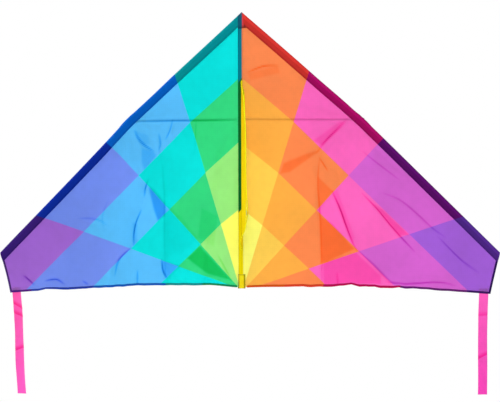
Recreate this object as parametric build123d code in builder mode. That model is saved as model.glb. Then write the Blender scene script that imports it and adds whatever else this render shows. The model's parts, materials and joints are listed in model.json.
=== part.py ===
"""A delta kite, hanging nose up in flying attitude: two swept-back wings, a keel, a spreader and two ribbon tails.

The frame's origin is the centre of the tow eyelet. +X runs along the span, -Y is the face with the keel,
and +Z points to the nose. Heights down the kite are measured from the nose along -Z and are called drops.
"""
from build123d import *
from math import cos, hypot, radians, sin
import os

# Wing outline, in the plane of a wing: distance out from the centre line, and drop from the nose.
BEND = (282.0, 243.5)
TIP = (602.0, 558.0)
CORNER = (580.0, 655.0)
TRAILING = [(525.0, 650.0), (458.0, 644.0), (361.0, 637.5), (261.0, 632.0), (185.0, 630.5), (89.0, 631.0)]
ROOT_DROP = 635.0

SWEEP_BACK = 9.0  # each wing leans back from the flat by this many degrees
# Each wing's fold line stands this far out: the spine sleeve lies on the left of the seam.
FOLD_AT = {"left": 9.4, "right": 2.0}
FABRIC = 0.5
EDGE_GAP = 0.5  # cloth starts this far from the line that it folds about

# Leading edge sleeves and their rods.
SLEEVE_WIDTH = 18.0
SLEEVE_RADIUS = 4.0
SLEEVE_CLOTH = 0.45
SEAM_THICK = 1.2
ROD_RADIUS = 2.0
ROD_INSET = 4.4  # from the folded edge to the rod's centre
ROD_BEND_RADIUS = 400.0
ROD_TOP_AT = 34.0
ROD_END_BEFORE_TIP = 9.0
CAP_RADIUS = 3.2
CAP_LENGTH = 15.0
CAP_END = 2.5
CUTOUT_HALF = 17.0
SLEEVE_START = {"left": 12.5, "right": 8.0}

# Hems.
HEM_WIDTH = 5.0
HEM_THICK = 1.2

# Centre: spine rod in its sleeve behind the seam.
SPINE_X = -3.6
SPINE_Y = 7.0
SPINE_RADIUS = 2.5
SPINE_TOP_DROP = 15.0
SPINE_END_DROP = 632.0
SPINE_CAP_RADIUS = 3.4
SPINE_SLEEVE_WIDTH = 10.8
SPINE_SLEEVE_DEPTH = 7.4
SPINE_SLEEVE_TOP = 38.0
SPINE_SLEEVE_END = 603.0
SEAM_OUT = {"left": 8.9, "right": 1.5}
SEAM_TOP = 30.0
SEAM_END = 634.5
POCKET_WIDTH = 17.9
POCKET_DEPTH = 9.4
POCKET_TOP = 605.0
POCKET_END = 639.5
POCKET_X = -2.3
PATCH_TOP = 6.0
PATCH_END = 36.0

# Keel.
KEEL_LEAN = 12.0  # the keel leans towards +X by this many degrees
KEEL_FOLD = (-1.5, -1.2)
KEEL_TOP = 157.0
KEEL_END = 550.0
KEEL_APEX = (148.0, 462.0)
KEEL_APEX_RADIUS = 6.0
KEEL_THICK = 0.6
KEEL_HEM = 6.0
KEEL_PATCH_RADIUS = 30.0
KEEL_PATCH_THICK = 1.8
TOW = (131.0, 460.5)
EYELET_BORE = 3.0
EYELET_BARREL = 3.6
EYELET_FLANGE = 6.0
EYELET_FLANGE_THICK = 0.8

# Spreader and its two connectors.
SPREADER_RADIUS = 2.0
SPREADER_BEHIND = 9.0
SPREADER_INTO_SOCKET = 0.5
CONNECTOR_RADIUS = 4.2
CONNECTOR_HALF_LENGTH = 13.0
CONNECTOR_ROD_BORE = 2.5
SOCKET_BORE = 2.1
SOCKET_MOUTH = 24.0
SOCKET_BACK = 5.0

# Ribbon tails.
TAIL_INNER = 551.2
TAIL_WIDTH = 21.6
TAIL_AXIS_DROP = 656.2
TAIL_AXIS_BEHIND = 1.2
TAIL_END = 895.0
TAIL_THICK = 0.6
TAIL_STITCH_TOP = 640.0
TAIL_STITCH_END = 654.4

os.makedirs("parts", exist_ok=True)

LEAN = radians(KEEL_LEAN)
BACK = radians(SWEEP_BACK)
# The tow eyelet's centre, from the nose, is where the frame's origin goes.
TOW_FROM_NOSE = Vector(KEEL_FOLD[0] + TOW[0] * sin(LEAN), KEEL_FOLD[1] - TOW[0] * cos(LEAN), -TOW[1])


def at(x, y, drop):
    """A point given from the nose, as a point of the frame."""
    return Vector(x, y, -drop) - TOW_FROM_NOSE


CENTRE_PLANE = Plane(origin=at(0, 0, 0), x_dir=(0, 1, 0), z_dir=(1, 0, 0))
OUTWARD = Vector(cos(BACK), sin(BACK), 0)
FRONTWARD = Vector(sin(BACK), -cos(BACK), 0)
# The right wing's own plane: x out from the centre line, y up from the nose, z towards the front.
WING = Plane(origin=at(0, 0, 0), x_dir=OUTWARD, z_dir=FRONTWARD)
KEEL = Plane(origin=at(*KEEL_FOLD, 0), x_dir=(sin(LEAN), -cos(LEAN), 0), z_dir=(-cos(LEAN), -sin(LEAN), 0))


def level(drop):
    """The horizontal plane at a drop, with its x and y measured from the centre line."""
    return Plane(origin=at(0, 0, drop), x_dir=(1, 0, 0), z_dir=(0, 0, 1))


def save(piece, name):
    piece.part.label = name
    export_step(piece.part, f"parts/{name}.step")


def save_side(piece, side, name):
    """Writes a piece that was made on the right, mirrored if it belongs to the left wing."""
    with BuildPart() as placed:
        add(piece.part)
        if side == "left":
            mirror(about=CENTRE_PLANE, mode=Mode.REPLACE)
    save(placed, f"{side}_{name}")


def save_pair(piece, name):
    for side in ("left", "right"):
        save_side(piece, side, name)


def down(point):
    """An outline point, out and drop, as a point of the wing's or keel's sketch."""
    return (point[0], -point[1])


def unit(start, end):
    length = hypot(end[0] - start[0], end[1] - start[1])
    return ((end[0] - start[0]) / length, (end[1] - start[1]) / length)


def inset_point(start, corner, end, amount):
    """Where two lines that run this far inside start-corner and corner-end meet."""
    first, second = unit(start, corner), unit(corner, end)
    middle = (first[0] + second[0], first[1] + second[1])
    scale = amount / (1 + first[0] * second[0] + first[1] * second[1])
    return (corner[0] + middle[1] * scale, corner[1] - middle[0] * scale)


def along(start, towards, run, inset):
    """A point this far along a line and this far inside it."""
    step = unit(start, towards)
    return (start[0] + step[0] * run + step[1] * inset, start[1] + step[1] * run - step[0] * inset)


def meet(p, q, r, s):
    """Where the line p-q crosses the line r-s."""
    a, b = (q[0] - p[0], q[1] - p[1]), (s[0] - r[0], s[1] - r[1])
    share = ((r[0] - p[0]) * b[1] - (r[1] - p[1]) * b[0]) / (a[0] * b[1] - a[1] * b[0])
    return (p[0] + a[0] * share, p[1] + a[1] * share)


NOSE_2D, BEND_2D, TIP_2D, CORNER_2D = (0.0, 0.0), down(BEND), down(TIP), down(CORNER)
UPPER_LENGTH = hypot(*BEND)
LOWER_LENGTH = hypot(TIP[0] - BEND[0], TIP[1] - BEND[1])
STITCH_BEND = inset_point(NOSE_2D, BEND_2D, TIP_2D, SLEEVE_WIDTH)
STITCH_TIP = along(BEND_2D, TIP_2D, LOWER_LENGTH, SLEEVE_WIDTH)
STITCH_TOP = along(NOSE_2D, BEND_2D, 0, SLEEVE_WIDTH)
ROD_BEND = inset_point(NOSE_2D, BEND_2D, TIP_2D, ROD_INSET)
ROD_TOP = along(NOSE_2D, BEND_2D, ROD_TOP_AT, ROD_INSET)
ROD_END = along(BEND_2D, TIP_2D, LOWER_LENGTH - ROD_END_BEFORE_TIP, ROD_INSET)


def along_rod(point, direction, inwards):
    """A plane across the leading edge, with x inwards from the fold and z along the rod."""
    facing = WING.from_local_coords(Vector(*direction, 0)) - WING.origin
    inside = WING.from_local_coords(Vector(*inwards, 0)) - WING.origin
    return Plane(origin=WING.from_local_coords(Vector(*point, 0)), x_dir=inside, z_dir=facing)


def sleeve_section():
    """The sleeve's cross-section: round over the rod, and flat where it is stitched to the sail."""
    flat = 2.0
    with Locations((ROD_INSET, 0)):
        Circle(SLEEVE_RADIUS)
    with Locations((SLEEVE_WIDTH - flat / 2, 0)):
        Rectangle(flat, SEAM_THICK)
    make_hull()
    with Locations((ROD_INSET, 0)):
        Circle(SLEEVE_RADIUS - SLEEVE_CLOTH, mode=Mode.SUBTRACT)


def leading_edge():
    upper, lower = unit(NOSE_2D, BEND_2D), unit(BEND_2D, TIP_2D)
    inside_upper, inside_lower = (upper[1], -upper[0]), (lower[1], -lower[0])
    for side, start in SLEEVE_START.items():
        with BuildPart() as sleeve_upper:
            with BuildSketch(along_rod(NOSE_2D, upper, inside_upper)):
                sleeve_section()
            extrude(amount=UPPER_LENGTH - CUTOUT_HALF)
            split(bisect_by=Plane(origin=WING.from_local_coords(Vector(start, 0, 0)), z_dir=OUTWARD))
        save_side(sleeve_upper, side, "leading_edge_sleeve_upper")

    start = along(BEND_2D, TIP_2D, CUTOUT_HALF, 0)
    beyond_tip = 14.0
    with BuildPart() as sleeve_lower:
        with BuildSketch(along_rod(start, lower, inside_lower)):
            sleeve_section()
        extrude(amount=LOWER_LENGTH - CUTOUT_HALF + beyond_tip)
        tip_line = unit(TIP_2D, CORNER_2D)
        inwards = WING.from_local_coords(Vector(tip_line[1], -tip_line[0], 0)) - WING.origin
        split(bisect_by=Plane(origin=WING.from_local_coords(Vector(*TIP_2D, 0)), z_dir=inwards))
    save_pair(sleeve_lower, "leading_edge_sleeve_lower")

    with BuildPart() as rod:
        with BuildLine(WING) as path:
            FilletPolyline(ROD_TOP, ROD_BEND, ROD_END, radius=ROD_BEND_RADIUS)
        with BuildSketch(along_rod(ROD_TOP, upper, inside_upper)):
            Circle(ROD_RADIUS)
        sweep(path=path.wires()[0])
    save_pair(rod, "leading_edge_rod")

    for name, point, direction, inside in (
        ("rod_upper_cap", ROD_TOP, upper, inside_upper),
        ("rod_lower_cap", ROD_END, (-lower[0], -lower[1]), inside_lower),
    ):
        with BuildPart() as cap:
            with BuildSketch(along_rod(point, direction, inside).offset(-CAP_END)):
                Circle(CAP_RADIUS)
            extrude(amount=CAP_LENGTH)
            fillet(cap.faces().filter_by(GeomType.PLANE).edges(), radius=0.6)
            with BuildSketch(along_rod(point, direction, inside)):
                Circle(ROD_RADIUS)
            extrude(amount=CAP_LENGTH, mode=Mode.SUBTRACT)
        save_pair(cap, name)


def raised(point, amount):
    return (point[0], point[1] + amount)


def trailing_points(rise, root):
    """The trailing edge from the corner to the root, raised by this much."""
    inner = (root, -ROOT_DROP)
    return [raised(p, rise) for p in [CORNER_2D, *(down(p) for p in TRAILING), inner]]


def cloth(side):
    root = FOLD_AT[side] + EDGE_GAP
    inner_tip = (TIP_2D[0] - HEM_WIDTH, TIP_2D[1])
    inner_corner = (CORNER_2D[0] - HEM_WIDTH, CORNER_2D[1])
    stitch_end = meet(STITCH_BEND, STITCH_TIP, TIP_2D, CORNER_2D)
    sail_tip = meet(STITCH_BEND, STITCH_TIP, inner_tip, inner_corner)
    lower_edge = trailing_points(0, root)
    hem_start, *upper_edge = trailing_points(HEM_WIDTH, root)
    hem_top = meet(TIP_2D, CORNER_2D, hem_start, upper_edge[0])
    sail_corner = meet(inner_tip, inner_corner, hem_start, upper_edge[0])
    root_top = meet(STITCH_TOP, STITCH_BEND, (root, 0), (root, -1))

    with BuildPart() as sail:
        with BuildSketch(WING):
            with BuildLine():
                Polyline(upper_edge[-1], root_top, STITCH_BEND, sail_tip, sail_corner)
                Spline(sail_corner, *upper_edge)
            make_face()
        extrude(amount=FABRIC / 2, both=True)
    save_side(sail, side, "sail")

    with BuildPart() as trailing_hem:
        with BuildSketch(WING):
            with BuildLine():
                Spline(*lower_edge)
                Line(lower_edge[-1], upper_edge[-1])
                Spline(sail_corner, *upper_edge)
                Polyline(sail_corner, hem_top, CORNER_2D)
            make_face()
        extrude(amount=HEM_THICK / 2, both=True)
    save_side(trailing_hem, side, "trailing_hem")

    with BuildPart() as tip_hem:
        with BuildSketch(WING):
            with BuildLine():
                Polyline(stitch_end, hem_top, sail_corner, sail_tip, close=True)
            make_face()
        extrude(amount=HEM_THICK / 2, both=True)
    save_side(tip_hem, side, "tip_hem")


def tails():
    """Each ribbon is stitched behind the hem, and the free length below it swings."""
    middle = TAIL_INNER + TAIL_WIDTH / 2
    ribbon_plane = WING.offset(-TAIL_AXIS_BEHIND)
    for name, top, end in (
        ("tail_stitched_end", TAIL_STITCH_TOP, TAIL_STITCH_END),
        ("tail", TAIL_AXIS_DROP + 1.0, TAIL_END),
    ):
        with BuildPart() as ribbon:
            with BuildSketch(ribbon_plane):
                with Locations((middle, -(top + end) / 2)):
                    Rectangle(TAIL_WIDTH, end - top)
            extrude(amount=TAIL_THICK / 2, both=True)
        save_pair(ribbon, name)


def connectors():
    """Flexible vinyl fittings: a tube on the leading edge rod, and a socket behind it for the spreader."""
    upper, lower = unit(NOSE_2D, BEND_2D), unit(BEND_2D, TIP_2D)
    direction = (upper[0] + lower[0], upper[1] + lower[1])
    rod_plane = along_rod(ROD_BEND, direction, (direction[1], -direction[0]))
    centre = WING.from_local_coords(Vector(*ROD_BEND, 0))
    socket_centre = centre - FRONTWARD * SPREADER_BEHIND
    mouth = Plane(origin=socket_centre - Vector(SOCKET_MOUTH, 0, 0), x_dir=(0, 1, 0), z_dir=(1, 0, 0))
    with BuildPart() as connector:
        with BuildSketch(rod_plane.offset(-CONNECTOR_HALF_LENGTH)):
            Circle(CONNECTOR_RADIUS)
        extrude(amount=2 * CONNECTOR_HALF_LENGTH)
        with BuildSketch(Plane(origin=centre, x_dir=OUTWARD, z_dir=-FRONTWARD)):
            Circle(CONNECTOR_RADIUS - 0.4)
        extrude(amount=SPREADER_BEHIND)
        with BuildSketch(mouth):
            Circle(CONNECTOR_RADIUS)
        extrude(amount=SOCKET_MOUTH + SOCKET_BACK)
        with BuildSketch(rod_plane.offset(-CONNECTOR_HALF_LENGTH)):
            Circle(CONNECTOR_ROD_BORE)
        extrude(amount=2 * CONNECTOR_HALF_LENGTH, mode=Mode.SUBTRACT)
        with BuildSketch(mouth):
            Circle(SOCKET_BORE)
        extrude(amount=SOCKET_MOUTH + 2 * SPREADER_INTO_SOCKET, mode=Mode.SUBTRACT)
    save_pair(connector, "connector")
    return socket_centre


def spreader(socket_centre):
    """A straight rod across the back, from one wing's socket to the other's."""
    half = socket_centre.X - at(0, 0, 0).X + SPREADER_INTO_SOCKET
    middle = Vector(at(0, 0, 0).X, socket_centre.Y, socket_centre.Z)
    with BuildPart() as rod:
        with BuildSketch(Plane(origin=middle, x_dir=(0, 1, 0), z_dir=(1, 0, 0))):
            Circle(SPREADER_RADIUS)
        extrude(amount=half, both=True)
        chamfer(rod.edges().filter_by(GeomType.CIRCLE), length=0.4)
    save(rod, "spreader_rod")


def spine():
    with BuildPart() as rod:
        with BuildSketch(level(SPINE_END_DROP)):
            with Locations((SPINE_X, SPINE_Y)):
                Circle(SPINE_RADIUS)
        extrude(amount=SPINE_END_DROP - SPINE_TOP_DROP)
    save(rod, "spine_rod")

    for name, outer, inner in (
        ("spine_top_cap", SPINE_TOP_DROP - CAP_END, SPINE_TOP_DROP),
        ("spine_bottom_cap", SPINE_END_DROP + CAP_END, SPINE_END_DROP),
    ):
        sense = 1 if outer > inner else -1
        with BuildPart() as cap:
            with BuildSketch(level(outer)):
                with Locations((SPINE_X, SPINE_Y)):
                    Circle(SPINE_CAP_RADIUS)
            extrude(amount=sense * CAP_LENGTH)
            fillet(cap.faces().filter_by(GeomType.PLANE).edges(), radius=0.6)
            with BuildSketch(level(inner)):
                with Locations((SPINE_X, SPINE_Y)):
                    Circle(SPINE_RADIUS)
            extrude(amount=sense * CAP_LENGTH, mode=Mode.SUBTRACT)
        save(cap, name)

    # The sleeve is a flattened tube behind the seam allowance, the strip of cloth between the two wings.
    web_end = SPINE_Y - SPINE_SLEEVE_DEPTH / 2 + 0.5
    web_width = 3.0
    left_edge = (-SEAM_OUT["left"] * cos(BACK), SEAM_OUT["left"] * sin(BACK))
    right_edge = (SEAM_OUT["right"] * cos(BACK), SEAM_OUT["right"] * sin(BACK))
    with BuildPart() as sleeve:
        with BuildSketch(level(SPINE_SLEEVE_END)):
            with Locations((SPINE_X, SPINE_Y)):
                RectangleRounded(SPINE_SLEEVE_WIDTH, SPINE_SLEEVE_DEPTH, 2.8)
            with Locations((SPINE_X, web_end / 2 + SEAM_THICK / 4)):
                Rectangle(web_width, web_end - SEAM_THICK / 2)
            with Locations((SPINE_X, SPINE_Y)):
                Circle(SPINE_RADIUS + 0.3, mode=Mode.SUBTRACT)
        extrude(amount=SPINE_SLEEVE_END - SPINE_SLEEVE_TOP)
        with BuildSketch(level(SEAM_END)):
            with BuildLine() as strip:
                Polyline(left_edge, (0, 0), right_edge)
            trace(strip.line, line_width=SEAM_THICK / 2)
        extrude(amount=SEAM_END - SEAM_TOP)
    save(sleeve, "spine_sleeve")

    with BuildPart() as pocket:
        with BuildSketch(level(POCKET_END)):
            with Locations((POCKET_X, SPINE_Y)):
                RectangleRounded(POCKET_WIDTH, POCKET_DEPTH, 3.0)
        extrude(amount=POCKET_END - POCKET_TOP)
        with BuildSketch(level(SPINE_END_DROP + CAP_END + 0.3)):
            with Locations((SPINE_X, SPINE_Y)):
                Circle(SPINE_CAP_RADIUS + 0.3)
        extrude(amount=POCKET_END, mode=Mode.SUBTRACT)
    save(pocket, "spine_end_pocket")

    left, right = -SEAM_OUT["left"], SEAM_OUT["right"]
    with BuildPart() as patch:
        with BuildSketch(Plane(origin=at(0, -0.6, 0), x_dir=(1, 0, 0), z_dir=(0, -1, 0))):
            with BuildLine():
                Polyline(
                    (left, -PATCH_TOP + left),
                    (0, -PATCH_TOP),
                    (right, -PATCH_TOP - right),
                    (right, -PATCH_END),
                    (left, -PATCH_END),
                    close=True,
                )
            make_face()
        extrude(amount=FABRIC)
    save(patch, "nose_patch")


def keel_outline(inset):
    """The keel's outline with its two free edges moved in by this much, before it is cut at the fold line."""
    top, apex, end = (0.0, -KEEL_TOP), down(KEEL_APEX), (0.0, -KEEL_END)
    trailing_length = hypot(KEEL_APEX[0], KEEL_END - KEEL_APEX[1])
    overrun = 60.0
    Polygon(
        along(top, apex, -overrun, inset),
        inset_point(top, apex, end, inset),
        along(apex, end, trailing_length + overrun, inset),
        align=None,
    )
    if inset == 0:
        fillet(vertices().sort_by(Axis.X)[-1], radius=KEEL_APEX_RADIUS)
    with Locations((EDGE_GAP + 100.0, -400.0)):
        Rectangle(200.0, 800.0, mode=Mode.INTERSECT)


def keel():
    with BuildPart() as panel:
        with BuildSketch(KEEL):
            keel_outline(KEEL_HEM)
            with Locations(down(TOW)):
                Circle(KEEL_PATCH_RADIUS, mode=Mode.SUBTRACT)
        extrude(amount=KEEL_THICK / 2, both=True)
    save(panel, "keel_panel")

    with BuildPart() as hem:
        with BuildSketch(KEEL):
            keel_outline(0)
            with BuildSketch(mode=Mode.PRIVATE) as inner:
                keel_outline(KEEL_HEM)
            add(inner.sketch, mode=Mode.SUBTRACT)
            with Locations(down(TOW)):
                Circle(KEEL_PATCH_RADIUS, mode=Mode.SUBTRACT)
        extrude(amount=HEM_THICK / 2, both=True)
    save(hem, "keel_hem")

    with BuildPart() as patch:
        with BuildSketch(KEEL):
            keel_outline(0)
            with Locations(down(TOW)):
                Circle(KEEL_PATCH_RADIUS, mode=Mode.INTERSECT)
                Circle(EYELET_BARREL + 0.05, mode=Mode.SUBTRACT)
        extrude(amount=KEEL_PATCH_THICK / 2, both=True)
    save(patch, "keel_patch")

    half = KEEL_PATCH_THICK / 2
    with BuildPart() as eyelet:
        with BuildSketch(KEEL.offset(half)):
            with Locations(down(TOW)):
                Circle(EYELET_FLANGE)
        extrude(amount=EYELET_FLANGE_THICK)
        with BuildSketch(KEEL.offset(-half - EYELET_FLANGE_THICK)):
            with Locations(down(TOW)):
                Circle(EYELET_BARREL)
        extrude(amount=2 * half + EYELET_FLANGE_THICK)
        with BuildSketch(KEEL.offset(-half - EYELET_FLANGE_THICK)):
            with Locations(down(TOW)):
                Circle(EYELET_BORE)
        extrude(amount=2 * half + 2 * EYELET_FLANGE_THICK, mode=Mode.SUBTRACT)
        outer = eyelet.edges().filter_by(GeomType.CIRCLE).sort_by(SortBy.RADIUS)[-2:]
        fillet(outer, radius=0.3)
    save(eyelet, "tow_eyelet")

    with BuildPart() as washer:
        with BuildSketch(KEEL.offset(-half - EYELET_FLANGE_THICK)):
            with Locations(down(TOW)):
                Circle(EYELET_FLANGE)
                Circle(EYELET_BARREL + 0.02, mode=Mode.SUBTRACT)
        extrude(amount=EYELET_FLANGE_THICK)
    save(washer, "eyelet_washer")


leading_edge()
for wing_side in ("left", "right"):
    cloth(wing_side)
tails()
spreader(connectors())
spine()
keel()
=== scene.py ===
"""Looks of the delta kite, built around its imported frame.

Lengths here are millimetres from the kite's nose, as in the part: "out" runs from the centre line along a
wing, "drop" runs down from the nose, and "back" is the distance behind the flat wing. kite() and wing()
turn them into the frame's metres.
"""
import json
from functools import partial, partialmethod, reduce
from math import acos, cos, hypot, pi, radians, sin, tan

import bmesh
import bpy
import numpy as np
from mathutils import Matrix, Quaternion, Vector, noise


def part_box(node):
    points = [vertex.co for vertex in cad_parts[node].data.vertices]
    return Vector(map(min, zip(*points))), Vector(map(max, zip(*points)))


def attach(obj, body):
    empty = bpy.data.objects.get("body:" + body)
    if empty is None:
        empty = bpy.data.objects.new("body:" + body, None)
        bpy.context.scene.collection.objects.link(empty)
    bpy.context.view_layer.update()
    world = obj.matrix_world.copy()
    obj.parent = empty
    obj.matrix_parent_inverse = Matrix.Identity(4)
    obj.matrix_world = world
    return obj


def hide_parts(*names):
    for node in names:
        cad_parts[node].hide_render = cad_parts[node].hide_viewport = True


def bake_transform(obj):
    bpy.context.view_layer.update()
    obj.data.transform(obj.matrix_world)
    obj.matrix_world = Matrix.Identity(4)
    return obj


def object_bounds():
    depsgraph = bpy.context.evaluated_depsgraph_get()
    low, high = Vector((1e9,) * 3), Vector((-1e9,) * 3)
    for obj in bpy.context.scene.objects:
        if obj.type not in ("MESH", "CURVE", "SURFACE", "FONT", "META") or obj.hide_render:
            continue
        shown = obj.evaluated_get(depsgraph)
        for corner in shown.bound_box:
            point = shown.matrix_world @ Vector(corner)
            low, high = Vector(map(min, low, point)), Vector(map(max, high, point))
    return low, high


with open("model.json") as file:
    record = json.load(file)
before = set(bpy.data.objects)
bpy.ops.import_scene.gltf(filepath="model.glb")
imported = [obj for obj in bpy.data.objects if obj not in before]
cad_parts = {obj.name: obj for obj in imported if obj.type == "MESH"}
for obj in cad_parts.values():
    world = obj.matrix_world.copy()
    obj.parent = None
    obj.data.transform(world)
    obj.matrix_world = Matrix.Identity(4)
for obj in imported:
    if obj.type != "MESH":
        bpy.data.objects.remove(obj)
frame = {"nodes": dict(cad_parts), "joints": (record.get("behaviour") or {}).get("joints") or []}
CAD_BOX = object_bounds()

MM = 0.001
SIGN = {"left": -1.0, "right": 1.0}
SEED = {"left": 3.1, "right": 8.7}  # each side's noise is read from another place

# The wing's outline: the part's, with the tips and the corners about 3 mm further in.
BEND = (282.0, 243.5)
TIP = (599.5, 555.5)
CORNER = (577.5, 652.6)
TRAILING = [(525.0, 648.8), (458.0, 644.0), (361.0, 637.5), (261.0, 632.0), (185.0, 630.5), (89.0, 631.0)]
ROOT_DROP = 635.0
UPPER_LENGTH = hypot(*BEND)
LOWER_WAY = np.subtract(TIP, BEND)
LOWER_LENGTH = hypot(*LOWER_WAY)
SWEEP_BACK = radians(9.0)
FOLD_AT = {"left": 9.4, "right": 2.0}
SEAM_TOP = 30.0
SEAM_END = 634.5
SEAM_OUT = {"left": 8.9, "right": 1.5}

SLEEVE_WIDTH = 20.5  # 2.5 mm wider than in the part
SLEEVE_RADIUS = 4.0
SLEEVE_CLOTH = 0.4
SLEEVE_START = {"left": 9.0, "right": 1.2}
HEM_WIDTH = 5.0
HEM_RADIUS = 0.6
CLOTH = 0.3  # a single layer of cloth is this thick
MOUTH = CLOTH + 0.1  # the gap between the two layers of a folded strip, which holds the sail

# The keel and its tow point, as in the part. KEEL_APEX and TOW are the run from the fold, and the drop.
KEEL_LEAN = radians(12.0)
KEEL_FOLD = (-1.5, -1.2)
KEEL_TOP = 157.0
KEEL_END = 550.0
KEEL_APEX = (148.0, 462.0)
TOW = (131.0, 460.5)

TAIL_INNER = 551.2
TAIL_WIDTH = 21.6

# The nose, in the frame: the right wing's fold line gives x and y, and the top of the seam gives z.
fold_x, fold_y, _ = next(joint for joint in frame["joints"] if joint["name"] == "right_wing_fold")["pos_m"]
NOSE = Vector((
    fold_x - FOLD_AT["right"] * cos(SWEEP_BACK) * MM,
    fold_y - FOLD_AT["right"] * sin(SWEEP_BACK) * MM,
    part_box("spine_sleeve")[1].z + SEAM_TOP * MM,
))


def kite(x, y, drop):
    """Points given from the nose, in millimetres, as points of the frame. Arrays work too."""
    x, y, drop = np.broadcast_arrays(x, y, drop)
    return np.stack([NOSE.x + x * MM, NOSE.y + y * MM, NOSE.z - drop * MM], axis=-1)


def point(x, y, drop):
    return Vector(kite(x, y, drop).tolist())


def swept(sign, out, drop, back):
    """A point on the plane of a wing, or behind it. sign is -1 on the left and 1 on the right."""
    x = sign * (out * cos(SWEEP_BACK) - back * sin(SWEEP_BACK))
    return kite(x, out * sin(SWEEP_BACK) + back * cos(SWEEP_BACK), drop)


def flat_wing(side, out, drop, back=0.0):
    """A point on, or behind, a wing before the wind has filled it."""
    return swept(SIGN[side], out, drop, back)


def bend_at_fold(piece, side, drop, before, beyond):
    """Works out points this far before and beyond a wing's fold line, and bakes the piece's placement into its
    mesh.
    """
    start, end = (flat_wing(side, FOLD_AT[side] + away, drop).tolist() for away in (-before, beyond))
    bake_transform(piece)


# ---------------------------------------------------------------- curves


def smooth_through(points, count):
    """A smooth line through a few points, as many evenly spaced ones."""
    p = np.array([points[0], *points, points[-1]], float)
    p[0], p[-1] = 2 * p[1] - p[2], 2 * p[-2] - p[-3]
    t = np.linspace(0, 1, 24, endpoint=False)[:, None]
    run = []
    for a, b, c, d in zip(p, p[1:], p[2:], p[3:]):
        twice = 2 * b + (c - a) * t + (2 * a - 5 * b + 4 * c - d) * t**2 + (3 * b - a - 3 * c + d) * t**3
        run.append(0.5 * twice)
    return evenly(np.vstack([*run, p[-2:-1]]), np.linspace(0, 1, count))


def running_length(line):
    """How far along a line each of its points is."""
    return np.concatenate([[0], np.cumsum(np.linalg.norm(np.diff(line, axis=0), axis=1))])


def evenly(line, shares):
    """Points at these shares of a line's length."""
    length = running_length(line)
    return np.stack([np.interp(np.asarray(shares) * length[-1], length, way) for way in line.T], -1)


def part_way(x, low, high):
    """How much of the way from low to high x is, from 0 to 1."""
    return np.clip((np.asarray(x, float) - low) / (high - low), 0, 1)


def hump(x, low, high):
    """0 at low and high, 1 half way, and smooth."""
    return np.sin(pi * part_way(x, low, high)) ** 2


def rise(x, low, high):
    """0 up to low and 1 from high on, and smooth."""
    t = part_way(x, low, high)
    return t * t * (3 - 2 * t)


def near(distance, reach):
    """1 where a distance is 0 or less, and fading to nothing in a few times the reach."""
    return np.exp(-np.maximum(distance, 0) / reach)


def rough(x, y, scale, seed, stretch=1.0):
    """Smooth noise over the cloth, from about -1 to 1."""
    x, y = np.broadcast_arrays(x, y)
    flat = zip((x / scale).ravel().tolist(), (y / scale / stretch).ravel().tolist())
    return np.array([noise.noise((a, b, seed)) for a, b in flat]).reshape(x.shape) * 1.6


EDGE = smooth_through([(10.0, ROOT_DROP), *TRAILING[::-1], CORNER], 200)

# How far the trailing edge sags below its smooth line: out, and how much.
HEM_SAG = {
    "left": [(0, -1), (25, -1), (40, -1.5), (80, -2), (120, 0.2), (268, 0.9), (282, -1.3), (296, 1.2),
             (318, 3), (340, 1.6), (430, 1.5), (452, 0), (466, -1), (486, -3.4), (507, 0), (580, 0)],
    "right": [(0, -1), (20, -0.5), (45, 0.5), (86, 2.5), (130, 2.6), (141, 1.8), (160, 3.8), (190, 4.2),
              (215, 2.8), (235, 0.6), (253, -4.2), (272, 0.8), (294, 1.2), (308, -1.6), (322, 1.4),
              (350, 1.4), (364, -1), (380, 0.6), (400, 0), (580, 0)],
}
# The tension in the cloth moves its leading edge a little up (or down) its rods: out, and how much.
EDGE_LIFT = {
    "left": [(0, 2.2), (40, 1.8), (170, 1.7), (215, 0.3), (262, 0.2), (290, -0.4), (310, -1.4), (345, -2.2),
             (402, -2.2), (459, -1.6), (515, -0.9), (560, 0), (602, 0)],
    "right": [(0, 2.4), (60, 2.4), (120, 2.0), (180, 0.8), (225, 1.0), (245, 0.6), (265, -0.4), (290, -0.5),
              (325, 0), (602, 0)],
}


def read_off(profile, out):
    return np.interp(out, *np.array(profile, float).T)


def trailing_drop(out):
    return np.interp(out, EDGE[:, 0], EDGE[:, 1])


def hem_lift(side, out):
    """How far the trailing edge's flutter and its sag lift it in the plane of the wing."""
    flutter = 2.0 * rough(out, 150.0, 30.0, SEED[side]) * hump(out, 20.0, CORNER[0])
    return flutter - read_off(HEM_SAG[side], out)


def leading_out(drop, inset=0.0):
    """Where a line this far inside the leading edge is, at a drop."""
    first = (drop * BEND[0] - inset * UPPER_LENGTH) / BEND[1]
    second = BEND[0] + ((drop - BEND[1]) * LOWER_WAY[0] - inset * LOWER_LENGTH) / LOWER_WAY[1]
    return np.minimum(first, second)


def inside_leading(out, drop):
    """How far inside the leading edge a point is."""
    first = (drop * BEND[0] - out * BEND[1]) / UPPER_LENGTH
    second = ((drop - BEND[1]) * LOWER_WAY[0] - (out - BEND[0]) * LOWER_WAY[1]) / LOWER_LENGTH
    return np.minimum(first, second)


# ---------------------------------------------------------------- the shape of the filled wings

BILLOW = 12.0  # the wind carries the middle of a wing this far back, before the seams hold it
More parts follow.
